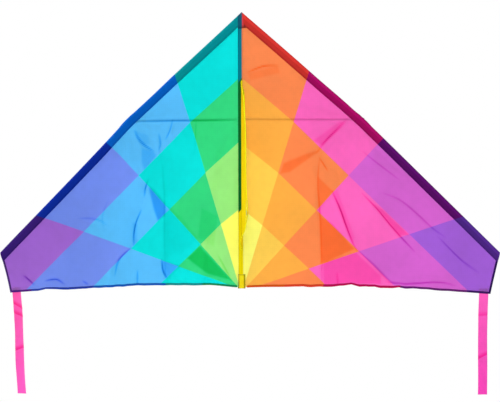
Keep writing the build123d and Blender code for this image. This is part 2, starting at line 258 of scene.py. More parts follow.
# Soft folds: points along each, width, height (ahead of the wing is negative), and how much wider the slope
# is on the side towards the tip.
FOLDS = {
    "left": [
        ([(266, 268), (250, 300), (222, 326)], 6, -3.6, 3.2),
        ([(200, 331), (191, 420), (190, 514), (189, 626)], 5, -4.2, 4.5),
        ([(232, 392), (242, 414), (243, 434)], 4, 3.0, 2.0),
        ([(246, 446), (266, 486), (270, 520), (271, 552)], 5, 4.2, 3.0),
        ([(306, 566), (322, 594), (326, 624)], 6, -3.0, 2.5),
        ([(200, 566), (192, 596), (180, 624)], 5, 3.6, 2.6), ([(168, 250), (174, 285)], 3, -2.0, 1.5),
        ([(207, 284), (203, 306), (204, 334)], 3, -2.0, 1.5), ([(548, 606), (520, 636)], 4, 3.0, 2.0),
        ([(505, 630), (470, 620), (425, 632)], 4, -3.0, 2.0),
        ([(420, 470), (370, 486), (300, 492)], 5, -1.8, 2.0), ([(90, 520), (96, 625)], 6, -1.6, 2.0),
        ([(60, 300), (75, 420)], 9, -1.4, 2.0), ([(470, 520), (440, 560), (420, 610)], 9, -1.6, 2.0),
    ],
    "right": [
        ([(256, 246), (218, 276), (184, 310)], 7, -4.0, 3.0),
        ([(244, 262), (180, 318), (92, 374)], 11, 3.6, 2.2),
        ([(180, 335), (176, 397), (182, 493), (185, 625)], 5, -4.2, 5.0),
        ([(206, 405), (246, 499), (272, 552)], 4, 4.6, 2.5),
        ([(268, 545), (300, 582), (336, 622), (366, 634)], 5, 3.4, 3.0),
        ([(292, 426), (347, 491), (404, 556)], 5, 4.4, 3.0),
        ([(326, 418), (386, 444), (436, 492), (488, 548)], 6, -3.0, 2.6),
        ([(436, 494), (500, 565), (558, 622)], 7, 2.6, 2.5),
        ([(350, 624), (430, 616), (505, 628)], 4, -2.6, 1.5), ([(300, 305), (372, 372)], 8, -2.0, 2.2),
        ([(60, 330), (20, 420)], 9, -1.4, 2.0), ([(190, 350), (222, 372), (232, 420)], 6, -1.8, 2.0),
    ],
}
# Sharp creases, where the cloth was folded in its bag: points along each, and how deep it is, which also sets
# the painted shade along it.
CREASES = {
    "left": [
        ([(262, 268), (253, 287), (239, 303), (217, 318)], 0.9), ([(204, 276), (200, 300), (205, 318)], 0.5),
        ([(169, 245), (175, 267), (188, 291)], 0.5), ([(231, 384), (239, 404), (241, 424)], 0.9),
        ([(200, 331), (194, 375), (190, 440), (191, 514), (189, 628)], 0.4),
        ([(249, 455), (263, 485), (269, 514), (268, 542)], 1.1), ([(198, 572), (195, 598), (183, 618)], 0.9),
        ([(274, 543), (304, 573), (314, 610)], 0.6), ([(258, 596), (258, 632)], 0.5),
        ([(544, 612), (517, 633)], 0.8), ([(488, 624), (460, 620), (440, 630)], 0.8),
        ([(405, 474), (359, 477), (331, 492)], 0.3), ([(60, 560), (27, 618)], 0.4),
        ([(395, 622), (380, 630)], 0.5), ([(112, 245), (118, 330)], 0.2),
        ([(330, 430), (345, 470), (340, 505)], 0.15),
    ],
    "right": [
        ([(247, 242), (211, 278), (180, 309)], 0.45), ([(232, 262), (200, 290), (172, 325)], 0.35),
        ([(180, 335), (176, 397), (182, 493), (185, 628)], 0.45), ([(180, 335), (199, 365)], 0.4),
        ([(209, 412), (227, 451), (242, 493), (257, 532), (265, 547)], 1.0),
        ([(265, 547), (304, 582), (342, 620), (365, 629)], 0.55),
        ([(279, 417), (315, 455), (354, 502), (400, 552)], 0.8),
        ([(327, 417), (365, 432), (404, 463), (442, 498), (474, 521)], 0.35),
        ([(280, 320), (319, 351), (365, 386)], 0.3), ([(458, 521), (509, 572), (551, 603)], 0.35),
        ([(334, 622), (380, 628), (458, 625), (496, 633)], 0.6), ([(220, 600), (222, 634)], 0.35),
        ([(12, 138), (50, 124), (84, 122)], 0.5),
    ],
}
CREASE_HALF_WIDTH = 1.7
CREASE_HEIGHT = 0.9
# Panes between creases that face away from the light, as convex outlines, and how deep each is, from 0 to 1,
# which also sets their painted shade.
PANES = {
    "left": [
        ([(245, 309), (217, 319), (211, 327), (240, 367), (247, 342)], 0.3),
        ([(231, 398), (215, 408), (189, 437), (189, 470), (207, 481), (217, 455)], 0.8),
        ([(200, 570), (152, 587), (183, 617), (195, 600)], 0.45),
        ([(135, 568), (105, 539), (27, 618), (85, 604)], 0.6),
        ([(268, 542), (272, 484), (258, 490), (260, 540)], 0.22),
        ([(190, 440), (150, 470), (110, 520), (150, 560), (190, 560)], 0.12),
        ([(60, 470), (100, 450), (110, 520), (70, 540)], 0.16),
        ([(262, 268), (240, 303), (225, 300), (230, 280)], 0.15),
    ],
    "right": [
        ([(226, 251), (241, 255), (188, 307), (165, 295)], 0.25),
        ([(184, 311), (177, 322), (111, 368), (88, 372), (99, 339), (150, 325)], 0.3),
        ([(176, 378), (211, 412), (179, 455)], 0.3),
        ([(182, 470), (211, 489), (261, 547), (195, 576), (184, 577)], 0.42),
        ([(187, 577), (265, 555), (323, 609), (322, 627), (189, 627)], 0.35),
        ([(304, 440), (327, 455), (389, 515), (366, 515)], 0.4),
        ([(209, 412), (257, 532), (262, 520), (222, 410)], 0.2),
        ([(12, 140), (84, 122), (88, 140), (20, 156)], 0.15),
    ],
}
PANE_HEIGHT = 1.2
# Where the spreader's shadow shows through the cloth, painted into its colour, and how strong it is on each
# wing.
SPREADER_SHADOW_LINE = [(12.0, 246.7), (272.0, 246.7)]
SPREADER_SHADOW_MARK = {"left": 1.1, "right": 0.3}
SPREADER_END = (279.0, 246.7)


def nearest(out, drop, line):
    """How far points of the cloth are from a line, how far along it, from 0 to 1, and on which side."""
    best = np.full(out.shape, 1e9)
    where = np.zeros(out.shape)
    side = np.zeros(out.shape)
    for k in range(len(line) - 1):
        a, step = line[k], line[k + 1] - line[k]
        t = np.clip(((out - a[0]) * step[0] + (drop - a[1]) * step[1]) / (step @ step), 0, 1)
        x, y = out - a[0] - t * step[0], drop - a[1] - t * step[1]
        away = np.hypot(x, y)
        nearer = away < best
        best = np.where(nearer, away, best)
        where = np.where(nearer, (k + t) / (len(line) - 1), where)
        side = np.where(nearer, np.sign(x * step[1] - y * step[0]), side)
    return best, where, side


def soft_fold(out, drop, line, width, height, wider):
    """How far back a soft fold moves the cloth. It is steep on one side and is gone at its ends."""
    away, where, side = nearest(out, drop, smooth_through(line, 24))
    spread = np.where(side > 0, width * wider, width)
    ends = np.sin(pi * np.clip(where, 0.03, 0.97)) ** 0.7
    return height * np.exp(-((away / spread) ** 2) ** 0.8) * ends


def crease(out, drop, line, depth):
    """How deep a sharp crease is at points of the cloth. It fades towards its ends."""
    away, where, _ = nearest(out, drop, smooth_through(line, 30))
    ends = np.sin(pi * np.clip(where, 0.02, 0.98)) ** 0.6
    return depth * np.exp(-((away / CREASE_HALF_WIDTH) ** 2)) * ends


def pane(out, drop, corners, depth):
    """How deep a pane is at points of the cloth: even inside its outline, and soft at its edges."""
    corners = np.array(corners, float)
    following = np.roll(corners, -1, axis=0)
    turned = np.sum(corners[:, 0] * following[:, 1] - following[:, 0] * corners[:, 1])
    inside = np.full(out.shape, 1e9)
    for a, b in zip(corners, following):
        way = (b - a) / np.linalg.norm(b - a) * np.sign(turned)
        inside = np.minimum(inside, way[0] * (drop - a[1]) - way[1] * (out - a[0]))
    return depth * rise(inside, -2.5, 3.5)


def marks(side, out, drop):
    """How deep all the creases of a wing are at points of its cloth, and how deep all its panes are."""
    creases = sum(crease(out, drop, *row) for row in CREASES[side])
    return creases, sum(pane(out, drop, *row) for row in PANES[side])


def fanned(side, out, drop):
    """The spreader's end holds the cloth, and folds fan out from it."""
    x, y = SPREADER_END[0] - out, drop - SPREADER_END[1]
    reach = np.hypot(x, y)
    waves = np.sin(np.arctan2(y, x) * 13.0 + SEED[side])
    return 1.1 * waves * hump(reach, 12, 170) * rise(reach, 10, 45) * (reach < 170)


def gathered(out, drop, from_edge, from_seam):
    """Stitching gathers the cloth a little beside each seam."""
    run = (out + drop) / 1.41
    gather = 0.28 * np.sin(run / 2.3 + 1.5 * np.sin(run / 17.0)) * near(from_edge, 14.0)
    gather += 0.2 * np.sin(drop / 1.9 + 2 * np.sin(drop / 23.0)) * near(from_seam, 12.0)
    return gather * part_way(from_edge, 0, 5.0) * part_way(from_seam, 0, 3.0)


def filled(side, out, drop):
    """How far back the wind and the tension in the cloth move a point of a wing."""
    out, drop = np.asarray(out, float), np.asarray(drop, float)
    from_edge = np.maximum(inside_leading(out, drop) - 9.0, 0)
    from_seam = np.maximum(out - FOLD_AT[side] - 1.0, 0)
    from_hem = np.maximum(trailing_drop(out) - drop, 0)
    held = (1 - near(from_edge, 45.0)) * (1 - near(from_seam, 70.0)) * (1 - 0.45 * near(from_hem, 60.0))
    bag = BILLOW * held * (0.35 + 0.65 * rise(drop, 60, 420))
    seed = SEED[side]
    slow = 1.5 * rough(out, drop, 120.0, seed) + 0.7 * rough(out, drop, 46.0, seed + 5)
    fine = 0.22 * rough(out, drop, 17.0, seed + 9, 1.6)
    flutter = 1.6 * rough(out, drop * 0.2, 34.0, seed + 13) * near(from_hem, 26.0)
    creases, panes = marks(side, out, drop)
    folds = sum(soft_fold(out, drop, *row) for row in FOLDS[side])
    folds += CREASE_HEIGHT * creases + PANE_HEIGHT * panes
    tension = part_way(from_edge, 0, 20.0) * part_way(from_seam, 0, 10.0)
    uneven = slow + fine + folds + fanned(side, out, drop) + flutter
    return bag + tension * uneven + gathered(out, drop, from_edge, from_seam)


def painted_crease_shade(side, out, drop):
    """How much painted shade a wing's cloth gets, from 0 to 2: along creases, on shaded panes and along the
    spreader's shadow.
    """
    creases, panes = marks(side, out, drop)
    return np.clip(1.5 * creases + panes + crease(out, drop, SPREADER_SHADOW_LINE, SPREADER_SHADOW_MARK[side]), 0, 2)


def wing(side, out, drop, back=0.0):
    """A point of a filled wing, or this far behind it."""
    out, drop = np.asarray(out, float), np.asarray(drop, float)
    lift = hem_lift(side, out) * near(trailing_drop(out) - drop, 18.0)
    lift = lift + read_off(EDGE_LIFT[side], out) * near(inside_leading(out, drop), 60.0)
    return flat_wing(side, out, drop - lift, back + filled(side, out, drop))


# ---------------------------------------------------------------- meshes


def new_object(name, data):
    made = bpy.data.objects.new(name, data)
    bpy.context.scene.collection.objects.link(made)
    return made


def new_mesh(name, points, faces, uvs):
    """A smooth, closed mesh with its faces outwards. Each named map in uvs has two numbers at each point."""
    mesh = bpy.data.meshes.new(name)
    mesh.from_pydata(np.reshape(points, (-1, 3)).tolist(), [], np.asarray(faces).tolist())
    corners = np.zeros(len(mesh.loops), int)
    mesh.loops.foreach_get("vertex_index", corners)
    for label, values in uvs.items():
        layer = mesh.uv_layers.new(name=label)
        layer.data.foreach_set("uv", np.reshape(values, (-1, 2)).astype(np.float32)[corners].ravel())
    mesh.shade_smooth()
    mesh.set_sharp_from_angle(angle=radians(55))
    work = bmesh.new()
    work.from_mesh(mesh)
    bmesh.ops.recalc_face_normals(work, faces=work.faces)
    work.to_mesh(mesh)
    work.free()
    return new_object(name, mesh)


def quads(table):
    """The squares between the rows and columns of a table of vertex numbers."""
    return np.stack([table[:-1, :-1], table[:-1, 1:], table[1:, 1:], table[1:, :-1]], -1).reshape(-1, 4)


def cloth_grid(name, points, uvs, thickness=CLOTH, keep=None, wrap=False):
    """A sheet of cloth as a closed shell: a grid of points, a front, a back and the cut edge between them.

    keep says which squares of the grid are cloth, and wrap joins the last row to the first."""
    across, along = np.gradient(points, axis=1), np.gradient(points, axis=0)
    normal = np.cross(across, along)
    normal /= np.maximum(np.linalg.norm(normal, axis=2, keepdims=True), 1e-12)
    half = normal * thickness * MM / 2
    vertices = np.vstack([(points + half).reshape(-1, 3), (points - half).reshape(-1, 3)])
    rows, columns = points.shape[:2]
    size = rows * columns
    table = np.arange(size).reshape(rows, columns)
    face = quads(np.vstack([table, table[:1]]) if wrap else table)
    if keep is not None:
        face = face[keep.ravel()]
    start, stop = face.ravel(), np.roll(face, -1, axis=1).ravel()
    rim = ~np.isin(start * size + stop, stop * size + start)
    start, stop = start[rim], stop[rim]
    edge = np.stack([stop, start, start + size, stop + size], -1)
    used = np.unique(face)
    number = np.full(2 * size, -1)
    number[np.concatenate([used, used + size])] = np.arange(2 * len(used))
    faces = number[np.vstack([face, face[:, ::-1] + size, edge])]
    doubled = {label: np.vstack([flat.reshape(-1, 2)[used]] * 2) for label, flat in uvs.items()}
    return new_mesh(name, vertices[number >= 0], faces, doubled)


def tube(name, rings, uvs):
    """A folded strip as a closed shell: rings of points round both layers of cloth, and its two cut ends."""
    stations, size = rings.shape[:2]
    table = np.arange(stations * size).reshape(stations, size)
    ends = []
    for row in (table[0], table[-1]):
        outer, inner = row[:size // 2], row[size // 2:][::-1]
        ends.append(np.stack([outer[:-1], outer[1:], inner[1:], inner[:-1]], -1))
    return new_mesh(name, rings, np.vstack([quads(np.hstack([table, table[:, :1]])), *ends]), uvs)


def loop_section(reach, radii, half_gap):
    """A strip folded round a rod or a cut edge: from one end of its mouth, round, to the other end.

    Returns pairs: distance from the middle towards the mouth, and distance behind it."""
    start = acos(radii[0] / reach)
    turn = np.linspace(start, 2 * pi - start, 40)
    bend = np.stack([radii[0] * np.cos(turn), -radii[1] * np.sin(turn)], -1)
    return np.vstack([[(reach, -half_gap)], bend, [(reach, half_gap)]])


def ring_section(reach, radii, cloth, half_gaps, shares):
    """One ring of a folded strip: out round its outer layer, and back round its inner one."""
    outer = evenly(loop_section(reach, radii, half_gaps[0]), shares)
    inner = evenly(loop_section(reach, np.subtract(radii, cloth), half_gaps[1]), shares)
    return np.vstack([outer, inner[::-1]])


FOLD_SPARE = 0.4  # a sleeve's cloth starts this far inside its folded edge
SKEW_REACH = 40.0  # a slanted end is felt this far along a strip


def folded_strip(name, place, line, width, radius, cloth=CLOTH, around=12, skew=(0, 0),
                 open_back=np.ones_like, shape=np.ones_like):
    """A strip of cloth folded over an edge or a rod, as a closed shell.

    place turns out, drop and back into points of the frame. line is the folded edge, width reaches from it
    to the mouth, and radius is the fold's. skew is how far the two ends lean along the line. For the run along
    the line, open_back gives how much of the way round the cloth goes, and shape how full the fold is."""
    run = running_length(line)
    direction = np.gradient(line, axis=0)
    direction /= np.linalg.norm(direction, axis=1, keepdims=True)
    inward = np.stack([-direction[:, 1], direction[:, 0]], -1)
    first_half = np.linspace(0, 0.5, around // 2, endpoint=False)
    rings = []
    for full, share in zip(shape(run), open_back(run)):
        middle = radius * min(full, 1.0) + FOLD_SPARE * (radius > 1)
        shares = np.concatenate([first_half, np.linspace(0.5, share, around - around // 2)])
        half_gaps = (MOUTH / 2 + cloth, MOUTH / 2)
        ring = ring_section(width - middle, (radius * full, radius * full), cloth, half_gaps, shares)
        rings.append(ring + (middle, 0.0))
    inset, behind = np.moveaxis(np.array(rings), -1, 0)
    lean = skew[0] * np.exp(-run / SKEW_REACH) + skew[1] * np.exp((run - run[-1]) / SKEW_REACH)
    shift = lean[:, None] * inset / width
    where = line[:, None] + inward[:, None] * inset[..., None] + direction[:, None] * shift[..., None]
    uvs = {"cloth": where * MM, "strip": np.stack([run[:, None] + shift, inset], -1) * MM}
    return tube(name, place(where[..., 0], where[..., 1], behind), uvs)


# ---------------------------------------------------------------- materials

# How much light reaches the cloth's front and back in this scene, so that a dye can be worked out from the
# colour that the lit cloth should have.
LIGHT_IN_FRONT = 0.78
LIGHT_BEHIND = 1.20
THROUGH = 0.6  # the share of the light that a layer of sail cloth lets through
THICK_THROUGH = 0.05  # and the share that layered cloth lets through


def linear(channel):
    channel /= 255
    return channel / 12.92 if channel <= 0.04045 else ((channel + 0.055) / 1.055) ** 2.4


def lit(dye, through):
    """What a two-faced layer of cloth with this dye sends forwards, with light on both of its faces."""
    back, pass_on = (1 - through) * dye, through * dye
    both = pass_on**2 / (1 - back**2)
    return LIGHT_IN_FRONT * (back + both * back) + LIGHT_BEHIND * both


def dyed(colour, through=THROUGH):
    """The dye, in linear light, that makes lit cloth look like this sRGB colour."""
    found = []
    for channel in colour:
        wanted, low, high = linear(channel), 0.0, 1.0
        for _ in range(30):
            middle = (low + high) / 2
            if lit(middle, through) < wanted:
                low = middle
            else:
                high = middle
        found.append(min(low, 0.97))
    return (*found, 1.0)


def solid(colour, level=0.86):
    """The same for cloth too thick to let light through."""
    return (*(min(linear(channel) / level, 0.95) for channel in colour), 1.0)


def solids(colours, level=0.86):
    return [solid(colour, level) for colour in colours]


class Number:
    """A number worked out by a material's nodes. Sums, products and comparisons of it add Math nodes."""

    def __init__(self, nodes, socket):
        self.nodes = nodes
        self.socket = socket

    def math(self, operation, *others):
        return self.nodes.math(operation, self, *others)

    def __rsub__(self, other):
        return self.nodes.math("SUBTRACT", other, self)

    __add__ = partialmethod(math, "ADD")
    __sub__ = partialmethod(math, "SUBTRACT")
    __mul__ = partialmethod(math, "MULTIPLY")
    __truediv__ = partialmethod(math, "DIVIDE")
    __gt__ = partialmethod(math, "GREATER_THAN")
    __lt__ = partialmethod(math, "LESS_THAN")
    __abs__ = partialmethod(math, "ABSOLUTE")


class Nodes:
    """Short names for the shader nodes that the materials and the sky are made of."""

    def __init__(self, name, made_in=bpy.data.materials):
        self.owner = made_in.new(name)
        self.owner.use_nodes = True
        self.tree = self.owner.node_tree
        self.tree.nodes.clear()

    def node(self, kind, settings=None, **inputs):
        made = self.tree.nodes.new("ShaderNode" + kind)
        for key, value in (settings or {}).items():
            setattr(made, key, value)
        for key, value in inputs.items():
            self.feed(made.inputs[key.replace("_", " ")], value)
        return made

    def feed(self, socket, value):
        value = value.socket if isinstance(value, Number) else value
        if isinstance(value, bpy.types.NodeSocket):
            self.tree.links.new(value, socket)
        else:
            socket.default_value = value

    def feed_all(self, sockets, values):
        for socket, value in zip(sockets, values):
            self.feed(socket, value)

    def math(self, operation, *values):
        made = self.node("Math", {"operation": operation})
        self.feed_all(made.inputs, values)
        return Number(self, made.outputs[0])

    def total(self, values):
        return reduce(lambda one, other: one + other, values)

    def most(self, *values):
        return reduce(lambda one, other: self.math("MAXIMUM", one, other), values)

    def flat(self, label):
        """The two flat coordinates of a cloth's UV map, in metres."""
        apart = self.node("SeparateXYZ", Vector=self.node("UVMap", {"uv_map": label}).outputs[0])
        return Number(self, apart.outputs[0]), Number(self, apart.outputs[1])

    def noise(self, scale, detail=3.0, stretch=(1.0, 1.0, 1.0)):
        place = self.node("Mapping", Vector=self.node("TexCoord").outputs["Object"], Scale=stretch)
        made = self.node("TexNoise", Scale=scale, Detail=detail, Vector=place.outputs[0])
        return Number(self, made.outputs["Fac"])

    def spread(self, value, low, high, to_low=0.0, to_high=1.0, smooth=True):
        """Turns the range from low to high into the range from to_low to to_high."""
        made = self.node("MapRange", {"interpolation_type": "SMOOTHSTEP" if smooth else "LINEAR"})
        self.feed_all(made.inputs, (value, low, high, to_low, to_high))
        return Number(self, made.outputs[0])

    def steps(self, value, colours, edges=None):
        """One colour out of several, by where value lies among the edges, or among equal parts."""
        made = self.node("ValToRGB", Fac=value)
        ramp = made.color_ramp
        ramp.interpolation = "CONSTANT"
        starts = edges or [k / len(colours) for k in range(len(colours))]
        while len(ramp.elements) < len(colours):
            ramp.elements.new(0.5)
        for element, start in zip(ramp.elements, starts):
            element.position = start
        for element, colour in zip(ramp.elements, colours):
            element.color = colour
        return made.outputs[0]

    def blend(self, share, first, second):
        made = self.node("Mix", {"data_type": "RGBA"})
        self.feed_all((made.inputs[0], made.inputs[6], made.inputs[7]), (share, first, second))
        return made.outputs[2]

    def mottled(self, scale, first, second, most=1.0):
        """The first colour with clouds of the second, as strong as most."""
        return self.blend(self.spread(self.noise(scale), 0.3, 0.7, 0.0, most), first, second)

    def shaded(self, colour, tone):
        return self.node("HueSaturation", Color=colour, Value=tone).outputs[0]

    def deeper(self, colour, power):
        return self.node("Gamma", Color=colour, Gamma=power).outputs[0]

    def bump(self, height, strength, distance, **normal):
        return self.node("Bump", Height=height, Strength=strength, Distance=distance, **normal).outputs[0]

    def mix_shaders(self, share, first, second):
        mixed = self.node("MixShader")
        self.feed_all(mixed.inputs, (share, first.outputs[0], second.outputs[0]))
        return mixed

    def surface(self, **inputs):
        """The finished material, with one plain shader."""
        return self.finish(self.node("BsdfPrincipled", **inputs))

    def finish(self, shader, output="OutputMaterial"):
        self.tree.links.new(shader.outputs[0], self.node(output).inputs[0])
        return self.owner


WEAVE_PITCH = 0.0009
RIP_PITCH = 0.005  # the stronger threads of the ripstop are this far apart
STITCH_PITCH = 0.0028
STITCH_HALF_WIDTH = 0.00042
STITCH_SHARE = 0.72  # how much of the pitch a stitch covers
BLACK = (0.0, 0.0, 0.0, 1.0)
THREAD_DARK = (0.02, 0.06, 0.03, 1.0)
THREAD_OLIVE = (0.16, 0.15, 0.01, 1.0)


def weave(n, u, v):
    """Height of a plain weave with a stronger thread every few millimetres both ways."""
    turn = 2 * pi / WEAVE_PITCH
    fine = (u * turn).math("SINE") * (v * turn).math("SINE")
    threads = [abs((way * (pi / RIP_PITCH)).math("COSINE")).math("POWER", 60.0) for way in (u, v)]
    strong = n.most(*threads)
    return fine * 0.35 + strong, strong


def dashes(n, along, across, *rows, pitch=STITCH_PITCH, half_width=STITCH_HALF_WIDTH):
    """1 on the stitches of rows that run this far inside the edge, and 0 elsewhere."""
    on = (along / pitch).math("FRACT") < STITCH_SHARE
    return n.most(*[(abs(across - row) < half_width) * on for row in rows])


def cloth(n, colour, u, v, through, stitch=None, sheen=0.03, gloss=0.1):
    """The finished material of woven cloth: a soft sheen in front, and light coming through from behind."""
    height, strong = weave(n, u, v)
    normal = n.bump(height, 0.25, 0.00012)
    if stitch is not None:
        normal = n.bump(stitch, 0.7, 0.0005, Normal=normal)
    uneven = n.spread(n.noise(70.0, 4.0), 0.3, 0.7, 0.985, 1.015)
    streaks = n.spread(n.noise(9.0, 2.0), 0.3, 0.7, 0.97, 1.015)
    base = n.shaded(colour, uneven * streaks * (1.0 - strong * 0.035))
    front = n.node("BsdfPrincipled", Base_Color=base, Normal=normal, Roughness=0.65, Specular_IOR_Level=gloss,
                   Sheen_Weight=sheen, Sheen_Roughness=0.5)
    behind = n.node("BsdfTranslucent", Color=base, Normal=normal)
    return n.finish(n.mix_shaders(through, front, behind))


# The printed pattern: rays from a hub at the foot of the spine, and rings that run nearly parallel to the
# leading edge. The hub is out and drop, the rays are degrees from the spine, and each ring has its drop at
# the spine and its slope up to the first ray and beyond it.
PATTERN = {
    "left": {"hub": (5.5, 638.5), "rays": (17.4, 43.3, 71.1),
             "rings": ((145.5, 0.835, 0.96), (291.5, 0.855, 0.96), (448.0, 0.75, 0.945))},
    "right": {"hub": (0.0, 642.5), "rays": (17.1, 42.9, 71.6),
              "rings": ((150.5, 0.845, 0.97), (303.0, 0.79, 0.975), (452.5, 0.815, 0.935))},
}
# The sRGB colours of the lit cloth, from the foot of the spine outwards.
TILES = {
    "left": [(252, 244, 98), (138, 222, 118), (45, 204, 120), (3, 213, 210), (81, 181, 247), (108, 136, 236),
             (155, 97, 206)],
    "right": [(255, 243, 112), (254, 197, 80), (255, 167, 68), (254, 131, 76), (255, 98, 184), (206, 95, 200),
              (155, 90, 206)],
}
SLEEVES = {
    "left": [(0, 141, 149), (0, 92, 192), (6, 40, 150), (53, 26, 112)],
    "right": [(202, 50, 44), (162, 8, 95), (86, 10, 100), (76, 38, 132)],
}
SLEEVE_ROD_HIGHLIGHT = {"left": 1.03, "right": 1.28}  # painted highlight: how much lighter the sleeve is over its rod
SLEEVE_STITCHES = (0.0172, 0.0188)
HEM_STEPS = [0.0, 97.0, 187.0, 366.0, 520.0]  # how far out each colour of the trailing hem starts
HEMS = {
    "left": [(0, 128, 78), (4, 136, 138), (3, 82, 177), (29, 54, 157), (78, 24, 122)],
    "right": [(222, 85, 13), (225, 66, 37), (190, 0, 80), (103, 31, 113), (60, 19, 97)],
}
CREASE_SHADE_DEPTH = 1.0  # painted shade: creased cloth is closer to two layers, so its colour is painted deeper
CREASE_SHADE_DARK = 0.6  # and painted shade makes it this much darker along the sharpest creases
TIP_SHADE = {"left": 0.9, "right": 0.985}  # painted shade: how bright the cloth is at the tips, next to the middle
TIP_HEMS = {"left": (73, 39, 116), "right": (42, 2, 90)}


def ray_number(n, side, u, v):
    """How many of the pattern's rays a point lies beyond, counted from the spine."""
    hub_out, hub_drop = PATTERN[side]["hub"]
    turn = (u - hub_out * MM).math("ARCTAN2", hub_drop * MM - v)
    return n.total([turn > radians(ray) for ray in PATTERN[side]["rays"]])


def ring_number(n, side, u, v):
    """How many of the pattern's rings a point lies inside."""
    hub_out, hub_drop = PATTERN[side]["hub"]
    first_ray = tan(radians(PATTERN[side]["rays"][0]))
    counted = []
    for start, slope, slope_beyond in PATTERN[side]["rings"]:
        kink = (hub_out + (hub_drop - start) * first_ray) / (1 + slope * first_ray)
        beyond = n.most(u - kink * MM, 0.0)
        counted.append(v > u * slope + beyond * (slope_beyond - slope) + start * MM)
    return n.total(counted)


def sail_material(side):
    n = Nodes(f"{side}_sail_ripstop")
    u, v = n.flat("cloth")
    number = ray_number(n, side, u, v) - ring_number(n, side, u, v) + 3.5
    colour = n.steps(number / 7.0, [dyed(tile) for tile in TILES[side]])
    # Painted shade: this attribute deepens and darkens the colour along creases, on shaded panes and along the
    # spreader's shadow.
    painted_shade = Number(n, n.node("Attribute", {"attribute_name": "painted_crease_shade"}).outputs["Fac"])
    colour = n.deeper(colour, painted_shade * CREASE_SHADE_DEPTH + 1.0)
    painted_dark = n.spread(painted_shade, 0.7, 1.8, 1.0, CREASE_SHADE_DARK, smooth=False)
    return cloth(n, n.shaded(colour, painted_dark * n.spread(u, 0.12, 0.5, 1.0, TIP_SHADE[side])), u, v, THROUGH)


def sleeve_material(side):
    n = Nodes(f"{side}_sleeve_cloth")
    u, v = n.flat("cloth")
    along, across = n.flat("strip")
    colour = n.steps((ray_number(n, side, u, v) + 0.5) / 4.0, solids(SLEEVES[side]))
    stitch = dashes(n, along, across, *SLEEVE_STITCHES)
    # Painted shade darkens the sleeve's rounded folded edge, and a painted highlight lightens it over its rod;
    # stitches are darker thread.
    edge = n.spread(across, 0.0, 0.0022, 0.8, 1.0)
    rod_highlight = n.spread(across, 0.0078, 0.0092, SLEEVE_ROD_HIGHLIGHT[side], 1.0)
    colour = n.shaded(colour, edge * rod_highlight * (1.0 - stitch * 0.35))
    return cloth(n, colour, along, across, 0.08, stitch, sheen=0.02, gloss=0.04)


def hem_material(side, name):
    n = Nodes(f"{side}_{name}_cloth")
    u, _ = n.flat("cloth")
    along, across = n.flat("strip")
    if name == "trailing_hem":
        colour = n.steps(u, solids(HEMS[side]), [start * MM for start in HEM_STEPS])
    else:
        colour = n.mottled(25.0, solid(TIP_HEMS[side]), BLACK, 0.25)
    stitch = dashes(n, along, across, 0.0038)
    return cloth(n, n.shaded(colour, 1.0 - stitch * 0.3), along, across, 0.1, stitch, sheen=0.05)


def keel_material(name, colour, through, *rows):
    """Yellow cloth, with rows of stitching this far inside the strip's edge."""
    n = Nodes(name)
    along, across = n.flat("strip")
    base = n.mottled(30.0, colour, (*(channel * 0.94 for channel in colour[:3]), 1.0))
    stitch = dashes(n, along, across, *rows) if rows else None
    if rows:
        base = n.blend(stitch, base, THREAD_OLIVE)
    return cloth(n, base, along, across, through, stitch, sheen=0.0, gloss=0.02)


def webbing(n, along, across, stitch, bright, dull):
    """Yellow webbing sewn with olive thread."""
    colour = n.blend(stitch, n.mottled(120.0, bright, dull), THREAD_OLIVE)
    return cloth(n, colour, along, across, THICK_THROUGH, stitch)


def vinyl_material():
    """Moulded vinyl: fine grain, slight mottling, and a dull shine."""
    n = Nodes("black_vinyl")
    colour = n.shaded((0.016, 0.016, 0.018, 1.0), n.spread(n.noise(220.0, 4.0), 0.3, 0.7, 0.85, 1.2))
    return n.surface(Base_Color=colour, Roughness=n.spread(n.noise(400.0), 0.3, 0.7, 0.34, 0.52),
                     Normal=n.bump(n.noise(900.0, 2.0), 0.3, 0.0001))


def fibreglass_material():
    """A pultruded rod: fibres along it under a thin shine."""
    n = Nodes("fibreglass_rod")
    fibres = n.noise(1.0, 4.0, (40.0, 1800.0, 1800.0))
    colour = n.blend(n.spread(fibres, 0.35, 0.65), (0.012, 0.012, 0.014, 1.0), (0.035, 0.036, 0.04, 1.0))
    return n.surface(Base_Color=colour, Roughness=n.spread(fibres, 0.3, 0.7, 0.28, 0.45),
                     Normal=n.bump(fibres, 0.25, 0.0001), Coat_Weight=0.3)


def brass_material():
    n = Nodes("eyelet_brass")
    cloudy = n.noise(260.0, 5.0)
    colour = n.blend(n.spread(cloudy, 0.35, 0.7), (0.78, 0.55, 0.24, 1.0), (0.55, 0.36, 0.15, 1.0))
    return n.surface(Base_Color=colour, Roughness=n.spread(cloudy, 0.3, 0.7, 0.2, 0.42),
                     Normal=n.bump(n.noise(1500.0), 0.15, 0.00005), Metallic=1.0)


def paint(piece, material):
    piece.data.materials.clear()
    piece.data.materials.append(material)


def dress(piece, material, slot, *stands_for):
    """Paints a piece and hides the CAD nodes that it stands for. slot is not used."""
    paint(piece, material)
    if stands_for:
        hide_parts(*stands_for)


# ---------------------------------------------------------------- sails

SAIL_ROWS = 175  # down to the tip
SAIL_BAND_ROWS = 36  # and from there to the trailing edge
SAIL_COLUMNS = 234
SAIL_TOP_WIDTH = 1.5
ROOT = {"left": 4.5, "right": 0.3}
SAIL_TUCK = 1.6  # how far the sail reaches into its hems and sleeves
TIP_HEM_ENDS = (4.3, 1.0)  # the tip's hem starts this far from the tip, and stops this far from the corner
NOTCH = 0.42  # how much of the sleeve's way round is cut away over the connector


